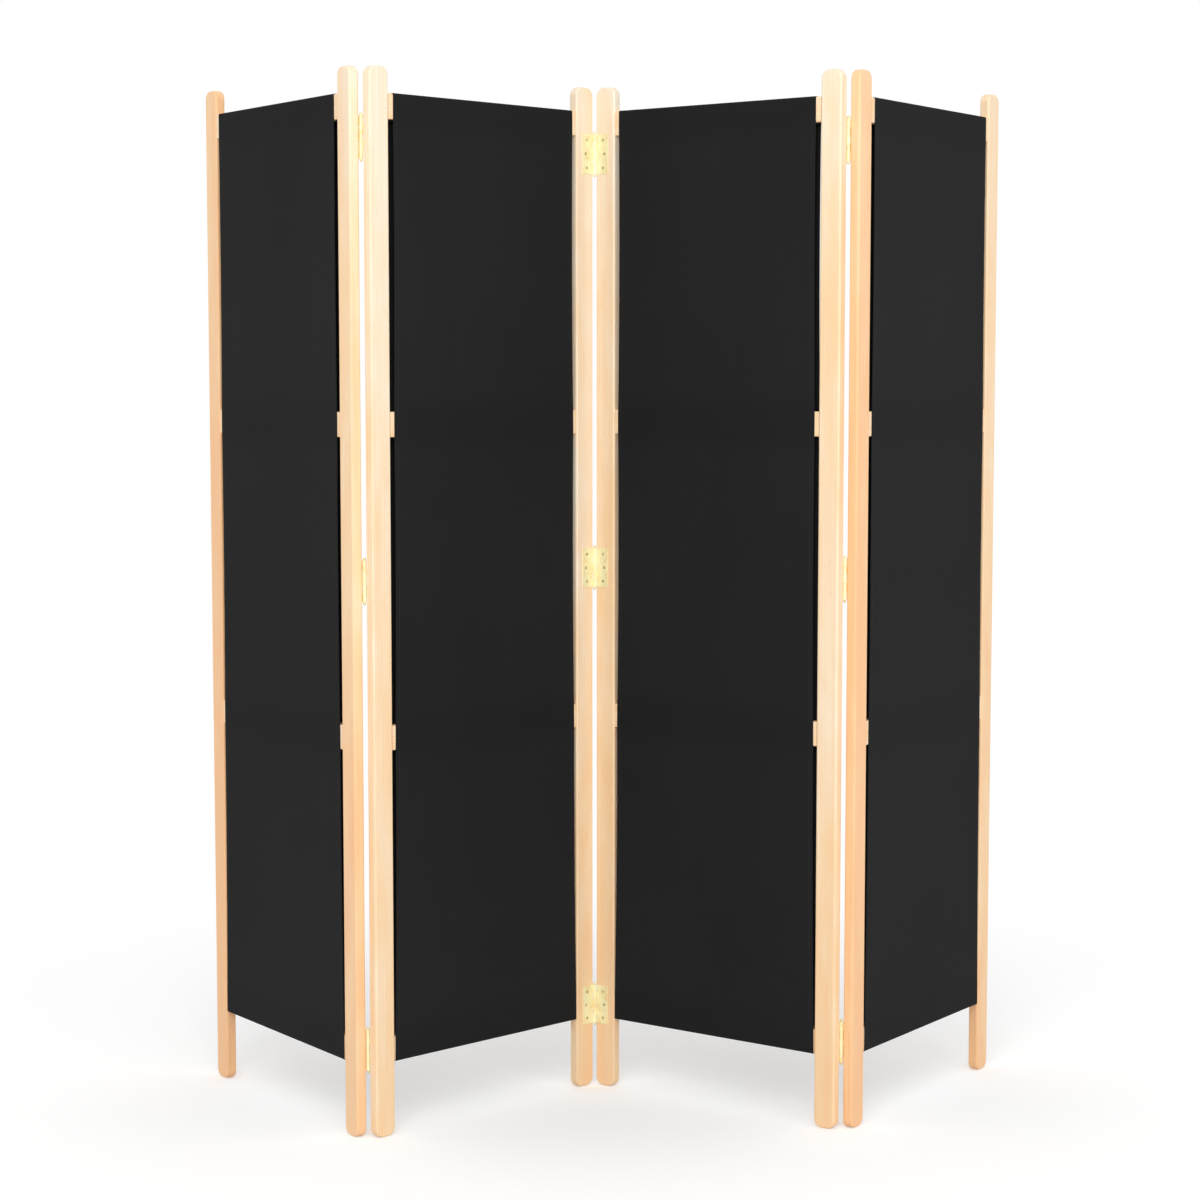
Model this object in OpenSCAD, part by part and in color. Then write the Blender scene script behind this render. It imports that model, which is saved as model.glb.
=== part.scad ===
// Four-panel folding screen: pine frames, a cloth sleeve stretched in each, and butt hinges.
// Millimetres. The screen stands on z = 0 and its front faces -Y.
// A panel is drawn from its lower left front corner: x along its width, y from front to back.

/* [Panels] */
// Height of the screen
panel_h = 1700; // [1400:10:2000]
// Width of one panel over both stiles
panel_w = 475; // [380:5:600]
// Width of a stile, seen from the front
stile_w = 38; // [32:1:50]
// Thickness of the stiles
stile_t = 18; // [16:0.5:26]
// Radius of the rounded corners at the stile ends
end_r = 14; // [6:0.5:15]
// Radius of the rounded edges of the stiles
edge_r = 3.5; // [2:0.5:5]

/* [Rails] */
// Height of a rail, seen from the front
rail_h = 40; // [30:1:60]
// How far the rails lie back from both faces of the stiles
rail_setback = 1; // [1:0.1:2]
// Radius of the long edges of the rails
rail_edge_r = 2; // [0.5:0.5:4]
// Height of the middle of the top rail under the top of the stiles
top_rail_drop = 61; // [45:1:120]
// Height of the middle of the upper middle rail
upper_rail_z = 1143; // [1000:1:1200]
// Height of the middle of the lower middle rail
lower_rail_z = 645; // [500:1:700]
// Height of the middle of the bottom rail
bottom_rail_z = 141; // [80:1:200]

/* [Dowels] */
// Diameter of the dowels that join the rails to the stiles
dowel_d = 6; // [4:0.5:8]
// Length of a dowel
dowel_l = 30; // [20:1:34]
// Distance between the two dowels of a joint
dowel_pitch = 20; // [14:1:22]
// Clearance of a dowel in its holes, all round and at its ends
dowel_clear = 0.05; // [0.02:0.01:0.2]
// Bevel at the ends of a dowel
dowel_bevel = 1; // [0.2:0.1:1.5]

/* [Cloth] */
// Gap between the cloth and each stile at the top rail
cloth_gap_top = 9; // [4:0.5:20]
// Gap between the cloth and each stile at the lower middle rail
cloth_gap_middle = 6; // [4:0.5:20]
// Gap between the cloth and each stile at the bottom rail
cloth_gap_foot = 1; // [1:0.5:20]
// Thickness of the cloth
cloth_t = 0.8; // [0.4:0.1:0.8]
// Clearance between the cloth and the rails that it goes round
cloth_clear = 0.1; // [0.05:0.05:0.2]

/* [Hinges] */
// Height of a hinge leaf
hinge_h = 66; // [50:1:90]
// Reach of a leaf from the turning axis
leaf_w = 25; // [20:0.5:30]
// Thickness of a leaf
leaf_t = 1.2; // [0.8:0.1:1.5]
// Outer diameter of the knuckles
knuckle_d = 6; // [5:0.1:8]
// Diameter of the hinge pin
pin_d = 3; // [2:0.1:3]
// Running clearance of the pin in the knuckles
pin_clear = 0.05; // [0.02:0.01:0.1]
// Gap between neighbouring knuckles
knuckle_gap = 0.2; // [0.1:0.05:0.5]
// Clearance round a knuckle in the notch of the other leaf
notch_clear = 0.4; // [0.2:0.1:1]
// Gap between two stiles when the panels lie flat
fold_gap = 1; // [0.6:0.1:3]
// Height that the head of the pin stands above the knuckles
pin_head_h = 5; // [2:0.5:8]
// Diameter of the heads of the pin
pin_head_d = 4.6; // [3.5:0.1:5]
// Height of the middle of the upper hinges under the top of the stiles
top_hinge_drop = 110; // [80:1:200]
// Height of the middle of the middle hinges
middle_hinge_z = 896; // [800:1:1000]
// Height of the middle of the lower hinges
bottom_hinge_z = 142; // [80:1:200]

/* [Screws] */
// Diameter of the hinge screws
screw_d = 2.8; // [2:0.1:3.5]
// Length of the hinge screws
screw_l = 12; // [8:0.5:14]
// Diameter of the screw heads
screw_head_d = 5.4; // [4:0.1:6]
// Clearance round the screws
screw_clear = 0.05; // [0.02:0.01:0.1]
// Distance between the screws of a leaf
screw_pitch = 23; // [16:0.5:30]
// Distance of the outer screws from the turning axis
screw_reach = 16; // [12:0.5:18]
// Extra distance of the middle screw
screw_stagger = 2.5; // [0:0.1:4]
// Length of the point of a screw
screw_point_l = 4; // [2:0.5:6]
// Length of the cross slot in a screw head
slot_l = 3.4; // [2:0.1:4]
// Width of the cross slot
slot_w = 0.8; // [0.4:0.1:1.2]
// Depth of the cross slot
slot_depth = 0.7; // [0.3:0.1:0.9]

/* [Standing pose] */
// Turn of the first panel away from the front
first_panel_turn = 53.7; // [30:0.1:80]
// Opening angle at the left fold, which closes back to back
left_fold_open = 83; // [40:1:150]
// Opening angle at the centre fold, which closes front to front
centre_fold_open = 101; // [40:1:150]
// Opening angle at the right fold, which closes back to back
right_fold_open = 90; // [40:1:150]

/* [Hidden] */
panels = [1:4];
rails = [
    ["top_rail", panel_h - top_rail_drop],
    ["upper_rail", upper_rail_z],
    ["lower_rail", lower_rail_z],
    ["bottom_rail", bottom_rail_z],
];
hinges = [
    ["top", panel_h - top_hinge_drop],
    ["middle", middle_hinge_z],
    ["bottom", bottom_hinge_z],
];
// Name, opening angle, and true where the hinges are on the back faces
folds = [
    ["left_fold", left_fold_open, true],
    ["centre_fold", centre_fold_open, false],
    ["right_fold", right_fold_open, true],
];

$fn = 48;
overlap = 0.01;
knuckles = 5;
rail_w = panel_w - 2 * stile_w;
rail_t = stile_t - 2 * rail_setback;
dowel_r = dowel_d / 2;
dowel_hole_r = dowel_r + dowel_clear;
dowel_hole_depth = dowel_l / 2 + dowel_clear;
cloth_room = cloth_t + cloth_clear;
cloth_top = rails[0][1] + rail_h / 2 + cloth_room;
cloth_foot = rails[3][1] - rail_h / 2 - cloth_room;
knuckle_r = knuckle_d / 2;
knuckle_pitch = hinge_h / knuckles;
knuckle_room = knuckle_r + notch_clear;
pin_r = pin_d / 2;
pin_bore_r = pin_r + pin_clear;
screw_r = screw_d / 2;
screw_head_r = screw_head_d / 2;
screw_head_t = leaf_t;
pine = [0.93, 0.79, 0.60];
beech = [0.86, 0.72, 0.53];
black = [0.15, 0.15, 0.15];
brass = [0.88, 0.78, 0.46];
steel_brass = [0.80, 0.70, 0.40];

// The turn of a panel about Z: the folds turn the panels alternately away and back
function heading(p) =
    p == 1 ? -first_panel_turn
    : heading(p - 1) + (folds[p - 2][2] ? 1 : -1) * (180 - folds[p - 2][1]);
function turned(v, a) = [v[0] * cos(a) - v[1] * sin(a), v[0] * sin(a) + v[1] * cos(a)];
// The turning axis of fold f, from the corner of the panel on its left or on its right
function axis_y(f) = folds[f - 1][2] ? stile_t + knuckle_r : -knuckle_r;
function axis_from_left(f) = [panel_w + fold_gap / 2, axis_y(f)];
function axis_from_right(f) = [-fold_gap / 2, axis_y(f)];
function chain(p) =
    p == 1 ? [0, 0]
    : chain(p - 1) + turned(axis_from_left(p - 1), heading(p - 1)) - turned(axis_from_right(p - 1), heading(p));
// The centres of the rounded corners of all panels give the outline of the screen on the floor
outline = [
    for (p = panels, x = [edge_r, panel_w - edge_r], y = [edge_r, stile_t - edge_r])
        chain(p) + turned([x, y], heading(p))
];
middle = [
    (min([for (q = outline) q[0]]) + max([for (q = outline) q[0]])) / 2,
    (min([for (q = outline) q[1]]) + max([for (q = outline) q[1]])) / 2,
];
function corner(p) = chain(p) - middle;

module on_panel(p) {
    translate([corner(p)[0], corner(p)[1], 0]) rotate([0, 0, heading(p)]) children();
}

// Places a hinge part at the turning axis of fold f, at height z
module on_fold_left(f, z) {
    on_panel(f) translate([axis_from_left(f)[0], axis_y(f), z]) children();
}
module on_fold_right(f, z) {
    on_panel(f + 1) translate([axis_from_right(f)[0], axis_y(f), z]) children();
}

module rounded_section(w, t, r) {
    translate([r, 0]) square([w - 2 * r, t]);
    translate([0, r]) square([w, t - 2 * r]);
    for (x = [r, w - r], y = [r, t - r])
        translate([x, y]) circle(r);
}

// Half of a rounded section: from x = 0 to a rounded edge at x = reach
module edge_profile(reach, t, r) {
    square([reach - r, t]);
    translate([0, r]) square([reach, t - 2 * r]);
    for (y = [r, t - r])
        translate([reach - r, y]) circle(r);
}

// The upper end of a stile: two rounded corners with a flat between them
module stile_end() {
    for (side = [0, 1])
        translate([side ? stile_w - end_r : end_r, stile_t, 0]) mirror([side ? 0 : 1, 0, 0])
            rotate([90, 0, 0]) rotate_extrude(angle = 90) edge_profile(end_r, stile_t, edge_r);
    translate([end_r, 0, 0]) rotate([90, 0, 90])
        linear_extrude(stile_w - 2 * end_r) rotate(90) mirror([0, 1]) edge_profile(end_r, stile_t, edge_r);
}

module stile_blank() {
    translate([0, 0, end_r]) linear_extrude(panel_h - 2 * end_r) rounded_section(stile_w, stile_t, edge_r);
    translate([0, 0, panel_h - end_r]) stile_end();
    translate([0, 0, end_r]) mirror([0, 0, 1]) stile_end();
}

// The middle of each dowel, from the middle of a rail's end
module dowel_places() {
    for (r = rails, z = [-1, 1] * dowel_pitch / 2)
        translate([0, stile_t / 2, r[1] + z]) children();
}

module screw_places() {
    for (i = [-1, 0, 1])
        translate([screw_reach + (i == 0 ? screw_stagger : 0), 0, i * screw_pitch]) children();
}

// Pilot holes in a stile whose fold edge is at x = 0, bored from the face at y = 0
module pilot_holes() {
    for (h = hinges)
        translate([-fold_gap / 2, 0, h[1]]) screw_places()
            rotate([-90, 0, 0]) translate([0, 0, -overlap])
                cylinder(r = screw_r + screw_clear, h = screw_l + screw_clear + overlap);
}

// A stile drawn with its outer edge at x = 0 and its rails on the right.
// Hinge screws enter from the front where hinge_face is "front", from the back where it is "back".
module stile(hinge_face) {
    color(pine) difference() {
        stile_blank();
        translate([stile_w - dowel_hole_depth, 0, 0]) dowel_places()
            rotate([0, 90, 0]) cylinder(r = dowel_hole_r, h = dowel_hole_depth + overlap);
        if (hinge_face == "front") pilot_holes();
        if (hinge_face == "back") translate([0, stile_t, 0]) mirror([0, 1, 0]) pilot_holes();
    }
}

function fold_face(f) = f < 1 || f > len(folds) ? "none" : folds[f - 1][2] ? "back" : "front";

module left_stile(p) {
    on_panel(p) stile(fold_face(p - 1));
}

module right_stile(p) {
    on_panel(p) translate([panel_w, 0, 0]) mirror([1, 0, 0]) stile(fold_face(p));
}

module rail(p, z) {
    color(pine) on_panel(p) translate([stile_w, rail_setback, z]) difference() {
        translate([0, 0, -rail_h / 2]) rotate([90, 0, 90]) linear_extrude(rail_w)
            rounded_section(rail_t, rail_h, rail_edge_r);
        for (x = [-overlap, rail_w - dowel_hole_depth], dz = [-1, 1] * dowel_pitch / 2)
            translate([x, rail_t / 2, dz]) rotate([0, 90, 0])
                cylinder(r = dowel_hole_r, h = dowel_hole_depth + overlap);
    }
}

// Two dowels with bevelled ends at each end of each rail
module dowels(p) {
    color(beech) on_panel(p)
        for (x = [stile_w, panel_w - stile_w])
            translate([x - dowel_l / 2, 0, 0]) dowel_places() rotate([0, 90, 0]) {
                cylinder(r1 = dowel_r - dowel_bevel, r2 = dowel_r, h = dowel_bevel);
                translate([0, 0, dowel_bevel]) cylinder(r = dowel_r, h = dowel_l - 2 * dowel_bevel);
                translate([0, 0, dowel_l - dowel_bevel]) cylinder(r1 = dowel_r, r2 = dowel_r - dowel_bevel, h = dowel_bevel);
            }
}

// The cloth seen from the front: it is widest at its foot
module cloth_outline() {
    gaps = [
        [cloth_gap_foot, cloth_foot - overlap],
        [cloth_gap_middle, lower_rail_z],
        [cloth_gap_top, cloth_top + overlap],
    ];
    polygon([
        for (g = gaps) [stile_w + g[0], g[1]],
        for (i = [len(gaps) - 1:-1:0]) [panel_w - stile_w - gaps[i][0], gaps[i][1]],
    ]);
}

// A sleeve of cloth that runs over the top rail, down both faces and under the bottom rail
module fabric(p) {
    outer_t = rail_t + 2 * cloth_room;
    outer_h = cloth_top - cloth_foot;
    color(black) on_panel(p) translate([0, rail_setback - cloth_room, 0]) intersection() {
        translate([0, outer_t + overlap, 0]) rotate([90, 0, 0])
            linear_extrude(outer_t + 2 * overlap) cloth_outline();
        translate([stile_w, 0, cloth_foot])
            rotate([90, 0, 90]) linear_extrude(rail_w) difference() {
                rounded_section(outer_t, outer_h, rail_edge_r + cloth_room);
                translate([cloth_t, cloth_t])
                    rounded_section(outer_t - 2 * cloth_t, outer_h - 2 * cloth_t, rail_edge_r + cloth_clear);
            }
    }
}

// A leaf drawn at its turning axis, with its plate on +X and its back at y = knuckle_r.
// The odd leaf has the first, third and fifth knuckle, and the even leaf has the others.
module leaf(odd) {
    own = [for (i = [0:knuckles - 1]) if ((i % 2 == 0) == odd) i];
    others = [for (i = [0:knuckles - 1]) if ((i % 2 == 0) != odd) i];
    color(brass) translate([0, 0, -hinge_h / 2]) difference() {
        union() {
            translate([0, knuckle_r - leaf_t, 0]) cube([leaf_w, leaf_t, hinge_h]);
            for (i = own)
                translate([0, 0, i * knuckle_pitch]) cylinder(r = knuckle_r, h = knuckle_pitch);
        }
        for (i = others)
            translate([-knuckle_room, -knuckle_room, i * knuckle_pitch - knuckle_gap / 2])
                cube([2 * knuckle_room, 2 * knuckle_room, knuckle_pitch + knuckle_gap]);
        translate([0, 0, -overlap]) cylinder(r = pin_bore_r, h = hinge_h + 2 * overlap);
        translate([0, knuckle_r - leaf_t, hinge_h / 2]) screw_places() rotate([-90, 0, 0])
            translate([0, 0, -overlap]) cylinder(
                r1 = screw_head_r + screw_clear + overlap,
                r2 = screw_r + screw_clear,
                h = leaf_t + 2 * overlap
            );
    }
}

// Turns a leaf or a screw for the panel on the left of a fold, and to the back face where needed.
// A right-hand leaf on the front face needs neither.
module as_left() {
    mirror([1, 0, 0]) children();
}
module on_face(f) {
    mirror([0, folds[f - 1][2] ? 1 : 0, 0]) children();
}

module left_leaf(f, z) {
    on_fold_left(f, z) on_face(f) as_left() leaf(true);
}

module right_leaf(f, z) {
    on_fold_right(f, z) on_face(f) leaf(false);
}

// A pin with a rounded head at each end
module pin() {
    head_r = pin_head_d / 2;
    head_l = pin_head_h - knuckle_gap;
    neck = knuckle_gap + head_l / 2;
    color(steel_brass) {
        translate([0, 0, -hinge_h / 2 - neck]) cylinder(r = pin_r, h = hinge_h + 2 * neck);
        for (side = [0, 1])
            mirror([0, 0, side]) translate([0, 0, hinge_h / 2 + knuckle_gap]) rotate_extrude()
                intersection() {
                    square([head_r, head_l]);
                    translate([0, head_l - head_r]) union() {
                        circle(head_r);
                        translate([0, -head_l]) square([head_r, head_l]);
                    }
                }
    }
}

module hinge_pins(f) {
    for (h = hinges)
        on_fold_left(f, h[1]) pin();
}

// A countersunk screw with a cross slot, its head at y = 0 and its point towards +Y
module screw() {
    color(steel_brass) rotate([-90, 0, 0]) difference() {
        rotate_extrude() polygon([
            [0, 0],
            [screw_head_r, 0],
            [screw_r, screw_head_t],
            [screw_r, screw_l + screw_head_t - screw_point_l],
            [0, screw_l + screw_head_t],
        ]);
        for (a = [45, 135])
            rotate([0, 0, a]) translate([-slot_l / 2, -slot_w / 2, -overlap])
                cube([slot_l, slot_w, slot_depth + overlap]);
    }
}

module leaf_screws() {
    translate([0, knuckle_r - leaf_t, 0]) screw_places() screw();
}

module hinge_screws(p) {
    for (h = hinges) {
        if (p > 1) on_fold_right(p - 1, h[1]) on_face(p - 1) leaf_screws();
        if (p <= len(folds)) on_fold_left(p, h[1]) on_face(p) as_left() leaf_screws();
    }
}

for (p = panels) {
    left_stile(p);
    right_stile(p);
    for (r = rails)
        rail(p, r[1]);
    fabric(p);
    dowels(p);
    hinge_screws(p);
}
for (f = [1:len(folds)]) {
    for (h = hinges) {
        left_leaf(f, h[1]);
        right_leaf(f, h[1]);
    }
    hinge_pins(f);
}
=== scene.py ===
"""Looks of a four-panel folding screen: pine frames, stretched black cloth and brass hinges.

Metres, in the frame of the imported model: floor at z = 0, front towards -Y.
"""
import math

import bpy
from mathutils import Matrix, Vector

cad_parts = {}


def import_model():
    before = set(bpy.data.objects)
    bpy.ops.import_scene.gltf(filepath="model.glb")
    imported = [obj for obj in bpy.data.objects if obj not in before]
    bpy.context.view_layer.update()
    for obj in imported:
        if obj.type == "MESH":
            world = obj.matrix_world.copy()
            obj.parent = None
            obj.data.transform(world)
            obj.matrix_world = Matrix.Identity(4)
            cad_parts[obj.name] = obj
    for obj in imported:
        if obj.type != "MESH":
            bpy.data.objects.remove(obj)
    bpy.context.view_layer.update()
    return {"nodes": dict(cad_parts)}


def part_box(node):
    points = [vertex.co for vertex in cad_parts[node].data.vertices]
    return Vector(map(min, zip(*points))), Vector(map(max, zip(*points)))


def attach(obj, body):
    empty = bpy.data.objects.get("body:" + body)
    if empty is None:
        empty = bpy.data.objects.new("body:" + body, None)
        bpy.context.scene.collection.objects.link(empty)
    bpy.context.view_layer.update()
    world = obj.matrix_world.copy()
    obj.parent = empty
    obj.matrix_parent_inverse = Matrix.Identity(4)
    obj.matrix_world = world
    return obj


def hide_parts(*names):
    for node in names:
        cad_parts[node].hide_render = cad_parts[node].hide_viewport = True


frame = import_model()

MM = 0.001
STANDING_H = 1.7
PANELS = (1, 2, 3, 4)
SIDES = ("left", "right")
RAILS = ("top_rail", "upper_rail", "lower_rail", "bottom_rail")
FOLDS = ("left_fold", "centre_fold", "right_fold")
HINGES = ("top", "middle", "bottom")

# Sizes that the cloth shares with the frames
STILE_W = 38 * MM
STILE_T = 18 * MM
RAIL_SETBACK = 1 * MM
RAIL_EDGE_R = 2 * MM
# Gap between the cloth and each stile, at the bottom, lower middle and top rail
CLOTH_GAPS = (1 * MM, 6 * MM, 9 * MM)
CLOTH_T = 0.8 * MM
CLOTH_CLEAR = 0.1 * MM


class Panel:
    """Where a panel stands: its lower left front corner, its turn about Z, and its rails."""

    def __init__(self, number):
        self.number = number
        self.body = f"panel_{number}"
        left = box_middle(f"{self.body}_left_stile")
        right = box_middle(f"{self.body}_right_stile")
        along = (right - left).to_2d()
        self.turn = math.atan2(along.y, along.x)
        self.width = along.length + STILE_W
        self.u = Vector((math.cos(self.turn), math.sin(self.turn), 0))
        self.m = Vector((-math.sin(self.turn), math.cos(self.turn), 0))
        middle = Vector((left.x, left.y, 0))
        self.corner = middle - self.u * (STILE_W / 2) - self.m * (STILE_T / 2)
        boxes = [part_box(f"{self.body}_{rail}") for rail in RAILS]
        self.rails = sorted((low.z, high.z) for low, high in boxes)

    def place(self, x, y, z):
        """A point of the panel's own frame, in the model's frame."""
        return self.corner + self.u * x + self.m * y + Vector((0, 0, z))


def box_middle(node):
    low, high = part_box(node)
    return (low + high) / 2


# Nodes

WHITE = (1, 1, 1, 1)


class Nodes:
    """A node tree with short calls for the nodes that repeat."""

    def __init__(self, tree):
        self.tree = tree

    def node(self, kind, **values):
        made = self.tree.nodes.new(kind)
        for name, value in values.items():
            setattr(made, name, value)
        return made

    def link(self, source, target):
        self.tree.links.new(source, target)

    def put(self, target, value):
        """Link a socket to the target, or set a plain value on it."""
        if isinstance(value, bpy.types.NodeSocket):
            self.link(value, target)
        else:
            target.default_value = value

    def math(self, operation, a, b=0.0, clamp=False):
        made = self.node("ShaderNodeMath", operation=operation, use_clamp=clamp)
        self.put(made.inputs[0], a)
        self.put(made.inputs[1], b)
        return made.outputs[0]

    def white(self, made, strength):
        """Set an emission or background node to white light of a given strength."""
        made.inputs["Color"].default_value = WHITE
        made.inputs["Strength"].default_value = strength
        return made.outputs[0]

    def mix_shaders(self, factor, a, b):
        made = self.node("ShaderNodeMixShader")
        for target, source in zip(made.inputs, (factor, a, b)):
            self.link(source, target)
        return made.outputs[0]

    def seen(self):
        """1 for what the camera sees straight, in a reflection or through glass, else 0."""
        path = self.node("ShaderNodeLightPath")
        either = path.outputs["Is Camera Ray"]
        for ray in ("Is Glossy Ray", "Is Transmission Ray"):
            either = self.math("MAXIMUM", either, path.outputs[ray])
        return either


class Shader(Nodes):
    """A node material with a principled shader."""

    def __init__(self, name):
        self.material = bpy.data.materials.new(name)
        self.material.use_nodes = True
        super().__init__(self.material.node_tree)
        self.bsdf = self.tree.nodes["Principled BSDF"]

    def surface(self, sockets):
        """Fill the principled shader's sockets and give back the material."""
        for name, value in sockets.items():
            self.put(self.bsdf.inputs[name], value)
        return self.material

    def model_space(self):
        """Metres in the model's frame."""
        return self.node("ShaderNodeTexCoord").outputs["Object"]

    def panel_space(self, panel, grain="z"):
        """Metres in the panel's own frame, with the grain's direction on Z."""
        mapping = self.node("ShaderNodeMapping", vector_type="TEXTURE")
        mapping.inputs["Location"].default_value = panel.corner
        mapping.inputs["Rotation"].default_value = (0, 0, panel.turn)
        self.link(self.model_space(), mapping.inputs["Vector"])
        if grain == "z":
            return mapping.outputs[0]
        joined = self.node("ShaderNodeCombineXYZ")
        for source, target in zip(self.axes(mapping.outputs[0]), ("Z", "Y", "X")):
            self.link(source, joined.inputs[target])
        return joined.outputs[0]

    def axes(self, vector):
        split = self.node("ShaderNodeSeparateXYZ")
        self.link(vector, split.inputs[0])
        return split.outputs["X"], split.outputs["Y"], split.outputs["Z"]

    def noise(self, vector, scale, detail, shift=(0, 0, 0), roughness=0.5):
        """Noise with a scale of its own along each axis, per metre."""
        mapping = self.node("ShaderNodeMapping")
        mapping.inputs["Scale"].default_value = scale
        mapping.inputs["Location"].default_value = shift
        self.link(vector, mapping.inputs["Vector"])
        made = self.node("ShaderNodeTexNoise")
        made.inputs["Scale"].default_value = 1.0
        made.inputs["Detail"].default_value = detail
        made.inputs["Roughness"].default_value = roughness
        self.link(mapping.outputs[0], made.inputs["Vector"])
        return made.outputs["Fac"]

    def sway(self, noise, amount):
        """Noise moved to lie round 0, and made as wide as the amount."""
        return self.math("MULTIPLY", self.math("SUBTRACT", noise, 0.5), amount)

    def mean(self, a, b):
        return self.math("ADD", self.math("MULTIPLY", a, 0.5), self.math("MULTIPLY", b, 0.5))

    def ramp(self, factor, *stops):
        made = self.node("ShaderNodeValToRGB")
        elements = made.color_ramp.elements
        while len(elements) < len(stops):
            elements.new(0.5)
        for element, (place, colour) in zip(elements, stops):
            element.position = place
            element.color = (*colour, 1)
        self.link(factor, made.inputs[0])
        return made.outputs[0]

    def grey(self, factor, *stops):
        return self.ramp(factor, *[(place, (v, v, v)) for place, v in stops])

    def mix(self, factor, a, b):
        made = self.node("ShaderNodeMix", data_type="RGBA")
        self.put(made.inputs["Factor"], factor)
        for name, value in (("A", a), ("B", b)):
            socket = [s for s in made.inputs if s.name == name and s.type == "RGBA"][0]
            if not isinstance(value, bpy.types.NodeSocket):
                value = (*value, 1)
            self.put(socket, value)
        return [s for s in made.outputs if s.type == "RGBA"][0]

    def tint(self, colour, target, mask, share):
        """Mix a colour towards the target by a share, where the mask is 1."""
        return self.mix(self.math("MULTIPLY", mask, share), colour, target)

    def bump(self, height, strength, distance, below=None):
        made = self.node("ShaderNodeBump")
        made.inputs["Strength"].default_value = strength
        made.inputs["Distance"].default_value = distance
        self.link(height, made.inputs["Height"])
        if below is not None:
            self.link(below, made.inputs["Normal"])
        return made.outputs[0]


# Wood

PINE_CREAM = (0.99, 0.89, 0.71)
PINE_MID = (0.99, 0.72, 0.43)
PINE_ORANGE = (0.98, 0.56, 0.28)
PINE_DARK = (0.68, 0.38, 0.18)
BEECH_DARK = (0.66, 0.45, 0.26)
BEECH_PALE = (0.80, 0.60, 0.38)
# Tone of a board, from 0 for orange to 1 for cream, and how much more orange a stile is at its foot,
# as painted light falling off towards the floor
PALE_BOARD, MEDIUM_BOARD, ORANGE_BOARD = 0.9, 0.6, 0.3
PAINTED_FALLOFF = 0.45
# How far the tone drifts over a board, and over a patch of it
BOARD_DRIFT, PATCH_DRIFT = 1.1, 0.8
# Growth rings: their distance, how far they wander, and how ragged their edges are
RING_PITCH = 0.0042
RING_WANDER = 0.03
RING_RAGGEDNESS = 0.5
# How strongly late growth, streaks, fibres and flecks colour the wood
LATE_SHARE, STREAK_SHARE, FIBRE_SHARE, FLECK_SHARE = 0.24, 0.26, 0.14, 0.45


def wood(name, panel, grain, seed, pith, board=MEDIUM_BOARD):
    """Lacquered softwood: growth rings round a pith, fibres, flecks, a slow drift of tone and, on
    stiles, painted light that pales the tone towards the top.
    """
    s = Shader(name)
    space = s.panel_space(panel, grain)
    x, y, z = s.axes(space)
    wander = s.noise(space, scale=(7, 7, 0.9), detail=2, shift=(seed, 0, seed * 0.37))
    across = s.math("ADD", s.math("ADD", x, s.sway(wander, RING_WANDER)), pith[0])
    deep = s.math("ADD", y, pith[1])
    squared = s.math("ADD", s.math("MULTIPLY", across, across), s.math("MULTIPLY", deep, deep))
    rings = s.math("DIVIDE", s.math("SQRT", squared), RING_PITCH)
    ragged = s.noise(space, scale=(220, 220, 4), detail=2, shift=(0, seed, 0))
    ring = s.math("FRACT", s.math("ADD", rings, s.math("MULTIPLY", ragged, RING_RAGGEDNESS)))
    late = s.grey(ring, (0.0, 0.15), (0.55, 0.25), (0.86, 1.0), (0.94, 0.85), (1.0, 0.15))

    tone = board
    # Painted light: stiles are painted paler towards the top and more orange towards the foot
    if grain == "z":
        height = s.math("DIVIDE", z, STANDING_H)
        tone = s.math("ADD", board - PAINTED_FALLOFF, s.math("MULTIPLY", height, PAINTED_FALLOFF))
    slow = s.noise(space, scale=(10, 10, 1.6), detail=2, shift=(seed * 1.7, seed, 0))
    patch = s.noise(space, scale=(45, 45, 9), detail=3, shift=(seed, 0, seed))
    tone = s.math("ADD", tone, s.sway(slow, BOARD_DRIFT))
    tone = s.math("ADD", tone, s.sway(patch, PATCH_DRIFT))

    fibre = s.noise(space, scale=(1400, 1400, 22), detail=3, shift=(0, 0, seed), roughness=0.6)
    streak = s.noise(space, scale=(260, 260, 2.2), detail=2, shift=(seed, 0, 0))
    fleck = s.noise(space, scale=(620, 620, 70), detail=1, shift=(seed, seed, 0))
    streaks = s.grey(streak, (0.35, 0.0), (0.75, 1.0))
    fibres = s.grey(fibre, (0.3, 0.0), (0.8, 1.0))
    flecks = s.grey(fleck, (0.0, 0.0), (0.72, 0.0), (0.80, 1.0))
    colour = s.ramp(tone, (0.0, PINE_ORANGE), (0.5, PINE_MID), (1.0, PINE_CREAM))
    colour = s.tint(colour, PINE_DARK, late, LATE_SHARE)
    colour = s.tint(colour, PINE_ORANGE, streaks, STREAK_SHARE)
    colour = s.tint(colour, PINE_DARK, fibres, FIBRE_SHARE)
    colour = s.tint(colour, PINE_DARK, flecks, FLECK_SHARE)
    relief = s.bump(late, strength=0.25, distance=0.0002)
    return s.surface({
        "Base Color": colour,
        "Roughness": s.grey(fibre, (0.2, 0.36), (0.9, 0.50)),
        "Normal": s.bump(fibre, strength=0.35, distance=0.00025, below=relief),
        "Coat Weight": 0.12,
        "Coat Roughness": 0.3,
    })


def dowel_wood():
    """Bare turned beech."""
    s = Shader("dowel_wood")
    fibre = s.noise(s.model_space(), scale=(300, 300, 300), detail=4)
    return s.surface({
        "Base Color": s.ramp(fibre, (0.3, BEECH_DARK), (0.7, BEECH_PALE)),
        "Roughness": 0.65,
        "Normal": s.bump(fibre, strength=0.3, distance=0.0002),
    })


# Brass

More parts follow.
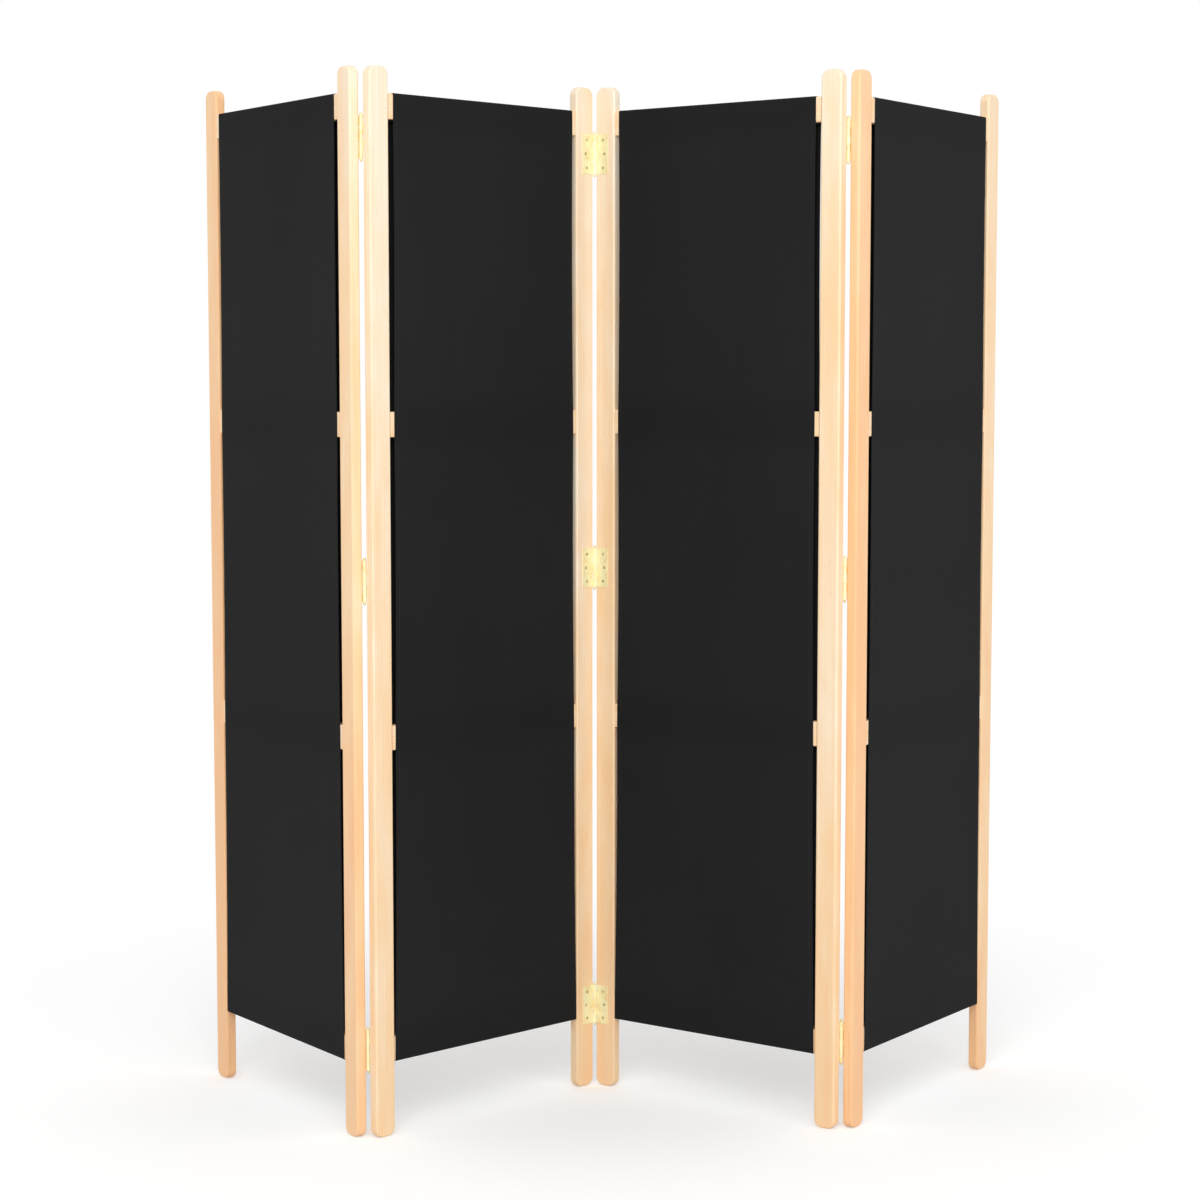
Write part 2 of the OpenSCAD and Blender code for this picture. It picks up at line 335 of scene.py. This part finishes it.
PLATE_PALE, PLATE_DULL = (1.0, 0.96, 0.64), (1.0, 0.89, 0.50)
PIN_PALE, PIN_DULL = (0.92, 0.82, 0.44), (0.76, 0.62, 0.28)
SCREW_PALE, SCREW_DULL = (0.80, 0.68, 0.34), (0.55, 0.43, 0.18)
PLATE_ROUGHNESS, PIN_ROUGHNESS = 0.48, 0.36
# Tarnish keeps less blue and green than the plating that it covers, and spots are darker still
TARNISH = (0.93, 0.72, 0.50)
SPOT_SHADE = 0.55
METALLIC = 0.4


def brass(name, pale, dull, seed, roughness):
    """Brass plating with faint brushing, cloudy tarnish and small handling marks."""
    s = Shader(name)
    space = s.model_space()
    cloud = s.noise(space, scale=(45, 45, 45), detail=4, shift=(seed, 0, 0))
    brushed = s.noise(space, scale=(3500, 3500, 120), detail=2, shift=(0, seed, 0))
    spots = s.noise(space, scale=(420, 420, 420), detail=2)
    tarnish = s.noise(space, scale=(90, 90, 60), detail=4, shift=(0, 0, seed), roughness=0.65)
    tarnished = tuple(d * t for d, t in zip(dull, TARNISH))
    spotted = tuple(d * SPOT_SHADE for d in dull)
    colour = s.mix(s.grey(cloud, (0.35, 0.0), (0.75, 1.0)), pale, dull)
    colour = s.mix(s.grey(tarnish, (0.50, 0.0), (0.68, 0.7)), colour, tarnished)
    colour = s.mix(s.grey(spots, (0.66, 0.0), (0.78, 0.55)), colour, spotted)
    return s.surface({
        "Base Color": colour,
        "Roughness": s.grey(cloud, (0.2, roughness - 0.08), (0.8, roughness + 0.1)),
        "Normal": s.bump(brushed, strength=0.22, distance=0.0001),
        "Metallic": METALLIC,
    })


# Cloth and thread

THREAD_PITCH = 0.0007
CLOTH_DARK = (0.0096, 0.0096, 0.0098)
CLOTH_LIGHT = (0.0170, 0.0170, 0.0174)
SEWING_DARK = (0.018, 0.018, 0.019)
SEWING_LIGHT = (0.045, 0.045, 0.047)
# How strongly the weave lightens the cloth, and how strongly painted shade darkens it where a rail
# behind it stops light coming through
WEAVE_SHARE, RAIL_SHADE_SHARE = 0.35, 0.35
RAIL_FADE = 0.03


def cloth(panel):
    """Black plain-weave cloth, lighter between the rails, with painted shade where it lies on them
    for the light that the rails stop coming through it.
    """
    s = Shader(f"{panel.body}_cloth_weave")
    space = s.panel_space(panel)
    x, _, z = s.axes(space)
    across = s.math("SINE", s.math("MULTIPLY", x, math.pi / THREAD_PITCH))
    down = s.math("SINE", s.math("MULTIPLY", z, math.pi / THREAD_PITCH))
    over = s.math("GREATER_THAN", s.math("MULTIPLY", across, down), 0.0)
    warp = s.math("MULTIPLY", s.math("ABSOLUTE", across), over)
    weft = s.math("MULTIPLY", s.math("ABSOLUTE", down), s.math("SUBTRACT", 1.0, over))
    weave = s.math("ADD", warp, weft)
    slub_down = s.noise(space, scale=(900, 900, 9), detail=2)
    slub_across = s.noise(space, scale=(9, 9, 900), detail=2)
    slub = s.mean(slub_down, slub_across)
    dust = s.noise(space, scale=(3, 3, 2), detail=3, shift=(panel.number, 0, 0))
    colour = s.ramp(s.mean(slub, dust), (0.3, CLOTH_DARK), (0.7, CLOTH_LIGHT))
    colour = s.tint(colour, CLOTH_LIGHT, weave, WEAVE_SHARE)
    # Painted shade where a rail behind the cloth stops light coming through it
    colour = s.tint(colour, CLOTH_DARK, painted_rail_shade(s, panel, z), RAIL_SHADE_SHARE)
    relief = s.bump(slub, strength=0.3, distance=0.0002)
    return s.surface({
        "Base Color": colour,
        "Roughness": 0.92,
        "Normal": s.bump(weave, strength=0.4, distance=0.00018, below=relief),
        "Specular IOR Level": 0.12,
        "Sheen Weight": 0.015,
        "Sheen Roughness": 0.5,
    })


def painted_rail_shade(s, panel, z):
    """Mask of the painted shade on the cloth: 1 where it lies on a rail, fading to 0 over a few
    centimetres.
    """
    total = None
    for low, high in panel.rails:
        middle, half = (low + high) / 2, (high - low) / 2
        away = s.math("ABSOLUTE", s.math("SUBTRACT", z, middle))
        past = s.math("DIVIDE", s.math("SUBTRACT", away, half), RAIL_FADE)
        near = s.math("SUBTRACT", 1.0, past, clamp=True)
        total = near if total is None else s.math("MAXIMUM", total, near)
    return total


def sewing_thread():
    """Twisted sewing thread, a shade lighter than the cloth."""
    s = Shader("sewing_thread")
    twist = s.noise(s.model_space(), scale=(1500, 1500, 1500), detail=2)
    return s.surface({
        "Base Color": s.ramp(twist, (0.3, SEWING_DARK), (0.7, SEWING_LIGHT)),
        "Roughness": 0.8,
        "Normal": s.bump(twist, strength=0.4, distance=0.0001),
    })


# Cloth sleeves

# How far the side edges and the face draw in between the rails, and the powers that shape this
WAIST = 1.6 * MM
HOLLOW = 0.9 * MM
BAY_FULLNESS = 0.7
HOLLOW_FULLNESS = 0.6
# Ripples: depth at the hems and all over, how fast they fade from a side edge as a share of the
# width, and how closely they follow each other, in radians per metre of height
HEM_RIPPLE = 0.10 * MM
BROAD_RIPPLE = 0.0875 * MM
RIPPLE_REACH = 0.12
RIPPLE_SHARE = 0.8
COARSE_WAVES = 74
FINE_WAVES, FINE_SHARE = 131, 0.6
BROAD_WAVES, BROAD_SLANT = 11, 6.0
RIPPLE_PHASE = 1.7
# Hems: a strip of double cloth with a soft step and a rounded edge, thicker only where it is
# clear of the rails
HEM_W = 9 * MM
HEM_EXTRA = 0.5 * MM
HEM_STEP = 0.6 * MM
EDGE_ROUNDING = 0.9 * MM
FREE_SHARE = 0.02
# Lap seam on the back
SEAM_W = 14 * MM
SEAM_T = 0.5 * MM
SEAM_UP = 13 * MM
SEAM_SUNK = 0.35 * MM
SEAM_RIM = 0.25 * MM
SEAM_INSET = 0.5 * MM
SEAM_COLUMNS = 40
# Stitches
STITCH_IN = 7 * MM
STITCH_PITCH = 4 * MM
STITCH_L = 2.9 * MM
STITCH_END = 12 * MM
STITCH_SUNK = 0.05 * MM
STITCH_SHOULDER = 0.3
THREAD_R = 0.22 * MM
# Mesh: step along the faces, steps round each corner, and columns at each edge (as shares of the
# width), along each hem (as shares of the hem) and between the hems
FACE_STEP = 9 * MM
CORNER_STEPS = 5
EDGE_COLUMNS = (0, 0.0008, 0.003)
HEM_COLUMNS = (0.5, 0.96, 1.04, 1.8)
MIDDLE_COLUMNS = 26


def make_mesh(name, points, faces, material, smooth=True):
    mesh = bpy.data.meshes.new(name)
    mesh.from_pydata(points, [], faces)
    mesh.validate()
    mesh.materials.append(material)
    piece = bpy.data.objects.new(name, mesh)
    bpy.context.scene.collection.objects.link(piece)
    for polygon in mesh.polygons:
        polygon.use_smooth = smooth
    return piece


def bay_share(panel, z):
    """0 on a rail, rising to 1 in the middle of the bay that z is in."""
    for (_, low), (high, _) in zip(panel.rails, panel.rails[1:]):
        if low < z < high:
            t = (z - low) / (high - low)
            return math.sin(math.pi * t) ** BAY_FULLNESS
    return 0.0


def ripple(panel, x, z):
    """Shallow folds that run out of the hems, where the cloth is pulled over the rails."""
    near = math.exp(-min(x, 1 - x) / RIPPLE_REACH)
    phase = panel.number * RIPPLE_PHASE
    wave = math.sin(z * COARSE_WAVES + phase) + FINE_SHARE * math.sin(z * FINE_WAVES + 2 * phase)
    broad = math.sin(z * BROAD_WAVES + BROAD_SLANT * x + phase)
    return HEM_RIPPLE * near * wave + BROAD_RIPPLE * broad


class Sleeve:
    """The closed loop of a panel's cloth, from the front foot up, over the top and down the back."""

    def __init__(self, panel):
        self.panel = panel
        room = CLOTH_T + CLOTH_CLEAR
        self.front = RAIL_SETBACK - room
        self.back = STILE_T - self.front
        self.foot = panel.rails[0][0] - room
        self.top = panel.rails[-1][1] + room
        self.radius = RAIL_EDGE_R + room
        self.gap_heights = (self.foot, sum(panel.rails[1]) / 2, self.top)
        self.widths = [panel.width - 2 * (STILE_W + gap) for gap in CLOTH_GAPS]
        self.profile = self.make_profile()

    def sides(self, z):
        """The left and right edge of the cloth at height z."""
        part = 0 if z < self.gap_heights[1] else 1
        low, high = self.gap_heights[part:part + 2]
        start, end = CLOTH_GAPS[part:part + 2]
        share = (z - low) / (high - low)
        inset = STILE_W + start + (end - start) * share + WAIST * bay_share(self.panel, z)
        return inset, self.panel.width - inset

    def flat_area(self):
        """The area of the loop before it was stretched over the rails."""
        foot, middle, top = self.gap_heights
        low, mid, high = self.widths
        face = (low + mid) / 2 * (middle - foot) + (mid + high) / 2 * (top - middle)
        return 2 * face + (low + high) * (self.back - self.front)

    def make_profile(self):
        """Points (y, z) of the outer face with their outward normals, once round."""
        r = self.radius
        straight = self.top - self.foot - 2 * r
        rows = round(straight / FACE_STEP)
        heights = [self.foot + r + straight * i / rows for i in range(rows + 1)]
        profile = [(self.front, z, -1.0, 0.0) for z in heights]
        profile += self.arc(self.front + r, self.top - r, 180, 1)
        profile += self.arc(self.back - r, self.top - r, 90, 0)
        profile += [(self.back, z, 1.0, 0.0) for z in reversed(heights)]
        profile += self.arc(self.back - r, self.foot + r, 0, 1)
        profile += self.arc(self.front + r, self.foot + r, -90, 0)
        return profile

    def arc(self, y, z, start, first):
        """A quarter turn round a rail's edge, without the end that a face already has."""
        points = []
        for i in range(first, first + CORNER_STEPS):
            a = math.radians(start - 90 * i / CORNER_STEPS)
            ny, nz = math.cos(a), math.sin(a)
            points.append((y + self.radius * ny, z + self.radius * nz, ny, nz))
        return points

    def columns(self):
        """Shares of the width, close together along the hems."""
        hem = HEM_W / self.widths[1]
        near = [*EDGE_COLUMNS, *(hem * place for place in HEM_COLUMNS)]
        last = near[-1]
        steps = range(1, MIDDLE_COLUMNS)
        between = [last + (1 - 2 * last) * i / MIDDLE_COLUMNS for i in steps]
        return near + between + [1 - x for x in reversed(near)]

    def thickness(self, x, share):
        """How thick the cloth is, double along the hems, and how full it is near its edge."""
        edge = min(x, 1 - x) * self.widths[1]
        hem = 1.0 if edge < HEM_W else max(0.0, 1 - (edge - HEM_W) / HEM_STEP)
        rounding = math.sqrt(min(1.0, edge / EDGE_ROUNDING))
        free = 1.0 if share > FREE_SHARE else 0.0
        return CLOTH_T + HEM_EXTRA * hem * free, rounding

    def drawn_in(self, x, z, share):
        """How far the cloth hollows inwards between the rails, ripples included."""
        middle = math.sin(math.pi * x) ** HOLLOW_FULLNESS if 0 < x < 1 else 0.0
        raised = ripple(self.panel, x, z) * share * RIPPLE_SHARE
        return max(HOLLOW * share * middle - raised, 0.0)

    def layer_points(self, columns, side):
        """One face of the cloth: side -0.5 is the outer face and 0.5 the inner one."""
        for y, z, ny, nz in self.profile:
            share = bay_share(self.panel, z)
            left, right = self.sides(z)
            for x in columns:
                thick, rounding = self.thickness(x, share)
                d = self.drawn_in(x, z, share) + thick * (0.5 + side * rounding)
                yield self.panel.place(left + (right - left) * x, y - ny * d, z - nz * d)

    def mesh(self, material):
        columns = self.columns()
        points = [point for side in (-0.5, 0.5) for point in self.layer_points(columns, side)]
        rows, wide = len(self.profile), len(columns)
        inner = rows * wide
        faces = []
        for base in (0, inner):
            for i in range(rows):
                row, after = base + i * wide, base + (i + 1) % rows * wide
                for k in range(wide - 1):
                    quad = (row + k, row + k + 1, after + k + 1, after + k)
                    faces.append(quad if base == 0 else quad[::-1])
        for i in range(rows):
            row, after = i * wide, (i + 1) % rows * wide
            for k in (0, wide - 1):
                quad = (row + k, after + k, inner + after + k, inner + row + k)
                faces.append(quad if k == 0 else quad[::-1])
        return make_mesh(f"{self.panel.body}_cloth", points, faces, material)

    def stitches(self, material):
        """One row of stitches down each hem, front and back."""
        points, faces = [], []
        count = int((self.top - self.foot - 2 * STITCH_END) / STITCH_PITCH)
        for side in (0, 1):
            for y in (self.front + STITCH_SUNK, self.back - STITCH_SUNK):
                for i in range(count):
                    z = self.foot + STITCH_END + i * STITCH_PITCH
                    left, right = self.sides(z)
                    x = left + STITCH_IN if side == 0 else right - STITCH_IN
                    add_stitch(points, faces, self.panel, x, y, z)
        return make_mesh(f"{self.panel.body}_stitching", points, faces, material)

    def seam(self, material):
        """The lap that closes the sleeve, low on the back, over the bottom rail."""
        low = self.foot + SEAM_UP
        high = low + SEAM_W
        inner = self.back - SEAM_SUNK
        outer = inner + SEAM_T
        outline = [
            (inner, low), (outer - SEAM_RIM, low), (outer, low + SEAM_RIM),
            (outer, high - SEAM_RIM), (outer - SEAM_RIM, high), (inner, high),
        ]
        left, right = self.sides(high)
        start, length = left + SEAM_INSET, right - left - 2 * SEAM_INSET
        columns = [start + length * i / SEAM_COLUMNS for i in range(SEAM_COLUMNS + 1)]
        points = [self.panel.place(x, y, z) for x in columns for y, z in outline]
        n = len(outline)
        faces = []
        for c in range(SEAM_COLUMNS):
            for i in range(n):
                j = (i + 1) % n
                faces.append((c * n + i, c * n + j, (c + 1) * n + j, (c + 1) * n + i))
        faces.append(tuple(range(n))[::-1])
        faces.append(tuple(SEAM_COLUMNS * n + i for i in range(n)))
        return make_mesh(f"{self.panel.body}_seam", points, faces, material, smooth=False)


def add_stitch(points, faces, panel, x, y, z):
    """A short spindle of thread that lies along Z at (x, y, z)."""
    start = len(points)
    points.append(panel.place(x, y, z - STITCH_L / 2))
    for dz in (-STITCH_SHOULDER, STITCH_SHOULDER):
        for dx, dy in ((1, 0), (0, 1), (-1, 0), (0, -1)):
            points.append(panel.place(x + dx * THREAD_R, y + dy * THREAD_R, z + dz * STITCH_L))
    points.append(panel.place(x, y, z + STITCH_L / 2))
    a, b, end = start + 1, start + 5, start + 9
    for i in range(4):
        j = (i + 1) % 4
        faces.append((start, a + j, a + i))
        faces.append((a + i, a + j, b + j, b + i))
        faces.append((b + i, b + j, end))


# Dressing

# Tone of the left and right stile of each panel; the centre stiles are palest partly as painted
# light, lifting them where the recess of the folds shades them
BOARDS = {
    1: (ORANGE_BOARD, MEDIUM_BOARD),
    2: (PALE_BOARD, PALE_BOARD),
    3: (PALE_BOARD, PALE_BOARD),
    4: (ORANGE_BOARD, MEDIUM_BOARD),
}


def dress(node, material):
    data = frame["nodes"][node].data
    data.materials.clear()
    data.materials.append(material)


def dress_cloth(panel, thread):
    sleeve = Sleeve(panel)
    weave = cloth(panel)
    piece = sleeve.mesh(weave)
    stitching = sleeve.stitches(thread)
    seam = sleeve.seam(weave)
    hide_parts(f"{panel.body}_fabric")
    for part in (piece, stitching, seam):
        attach(part, panel.body)
    round(max(sleeve.widths), 3)
    round(sleeve.flat_area(), 3)


def dress_panel(panel, thread, dowel):
    """Give each board a pith and a seed of its own, so that no two show the same grain."""
    n = panel.number
    for i, side in enumerate(SIDES):
        name = f"{panel.body}_{side}_stile"
        pith = (0.03 + 0.014 * i + 0.008 * n, -0.02 - 0.012 * (n % 3))
        seed = 3.1 * n + 11.3 * i
        dress(name, wood(f"{name}_wood", panel, "z", seed, pith, BOARDS[n][i]))
    for i, rail in enumerate(RAILS):
        name = f"{panel.body}_{rail}"
        pith = (-panel.rails[-1 - i][0] + 0.02, 0.03)
        seed = 5.3 * n + 2.9 * i
        dress(name, wood(f"{name}_wood", panel, "x", seed, pith))
    dress(f"{panel.body}_dowels", dowel)
    dress_cloth(panel, thread)


def dress_hinges():
    pin = brass("pin_plating", PIN_PALE, PIN_DULL, 2.0, PIN_ROUGHNESS)
    screw = brass("screw_plating", SCREW_PALE, SCREW_DULL, 5.0, PIN_ROUGHNESS)
    for f, fold in enumerate(FOLDS):
        plate = brass(f"{fold}_plating", PLATE_PALE, PLATE_DULL, 1.0 + f, PLATE_ROUGHNESS)
        for hinge in HINGES:
            for side in SIDES:
                dress(f"{fold}_{hinge}_{side}_leaf", plate)
        dress(f"{fold}_hinge_pins", pin)
    for n in PANELS:
        dress(f"panel_{n}_hinge_screws", screw)


# Studio

FLOOR_COLOUR = (0.80, 0.80, 0.80, 1)
FLOOR_ROUGHNESS = 0.9
FLOOR_GLOW = 0.28
FLOOR_REACH = 9.0
# Distance from the screen's middle where the floor starts to fade to white, and over how much
FADE_START, FADE_LENGTH = 0.9, 0.9
WORLD_STRENGTH = 0.77
# Lamps: what they point at, then the place, width and power of each
LAMPS_AIM = (0, 0, 0.9)
KEY_LIGHT = ((-0.4, -4.4, 3.2), 2.6, 90)
FILL_LIGHT = ((2.6, -3.6, 1.8), 2.0, 26)
# The photograph's view
CAMERA_AT = (-0.0078, -4.2578, 1.2110)
CAMERA_PITCH = 4.863
CAMERA_LENS = 77.11
CAMERA_SENSOR = 36.0


def floor():
    """A pale floor that the camera sees as near white, with the screen's shadow on it."""
    s = Shader("studio_floor")
    material = s.surface({"Base Color": FLOOR_COLOUR, "Roughness": FLOOR_ROUGHNESS})
    plain = s.bsdf.outputs[0]
    both = s.node("ShaderNodeAddShader")
    s.link(plain, both.inputs[0])
    s.link(s.white(s.node("ShaderNodeEmission"), FLOOR_GLOW), both.inputs[1])
    away = s.node("ShaderNodeVectorMath", operation="LENGTH")
    s.link(s.model_space(), away.inputs[0])
    past = s.math("SUBTRACT", away.outputs["Value"], FADE_START)
    far = s.math("DIVIDE", past, FADE_LENGTH, clamp=True)
    white = s.white(s.node("ShaderNodeEmission"), 1.0)
    faded = s.mix_shaders(far, both.outputs[0], white)
    shown = s.mix_shaders(s.seen(), plain, faded)
    s.link(shown, s.tree.nodes["Material Output"].inputs["Surface"])
    r = FLOOR_REACH
    points = [(-r, -r, 0), (r, -r, 0), (r, r, 0), (-r, r, 0)]
    ground = make_mesh("studio_floor", points, [(0, 1, 2, 3)], material, smooth=False)


def world():
    """Even light from all round, white to the camera and in reflections."""
    made = bpy.data.worlds.new("studio_world")
    bpy.context.scene.world = made
    made.use_nodes = True
    w = Nodes(made.node_tree)
    light = w.white(w.tree.nodes["Background"], WORLD_STRENGTH)
    white = w.white(w.node("ShaderNodeBackground"), 1.0)
    shown = w.mix_shaders(w.seen(), light, white)
    w.link(shown, w.tree.nodes["World Output"].inputs["Surface"])


def area_light(name, at, size, power):
    light = bpy.data.lights.new(name, "AREA")
    light.shape = "SQUARE"
    light.size = size
    light.energy = power
    lamp = bpy.data.objects.new(name, light)
    bpy.context.scene.collection.objects.link(lamp)
    lamp.location = at
    aim = Vector(LAMPS_AIM) - Vector(at)
    lamp.rotation_euler = aim.to_track_quat("-Z", "Y").to_euler()


def camera():
    lens = bpy.data.cameras.new("photo_view")
    lens.lens = CAMERA_LENS
    lens.sensor_width = CAMERA_SENSOR
    lens.sensor_fit = "HORIZONTAL"
    viewer = bpy.data.objects.new("photo_view", lens)
    bpy.context.scene.collection.objects.link(viewer)
    viewer.location = CAMERA_AT
    viewer.rotation_euler = (math.radians(90 - CAMERA_PITCH), 0, 0)
    bpy.context.scene.camera = viewer


camera()
thread = sewing_thread()
dowel = dowel_wood()
for number in PANELS:
    dress_panel(Panel(number), thread, dowel)
dress_hinges()
floor()
world()
area_light("key_light", *KEY_LIGHT)
area_light("fill_light", *FILL_LIGHT)
bpy.context.scene.view_settings.view_transform = "Standard"
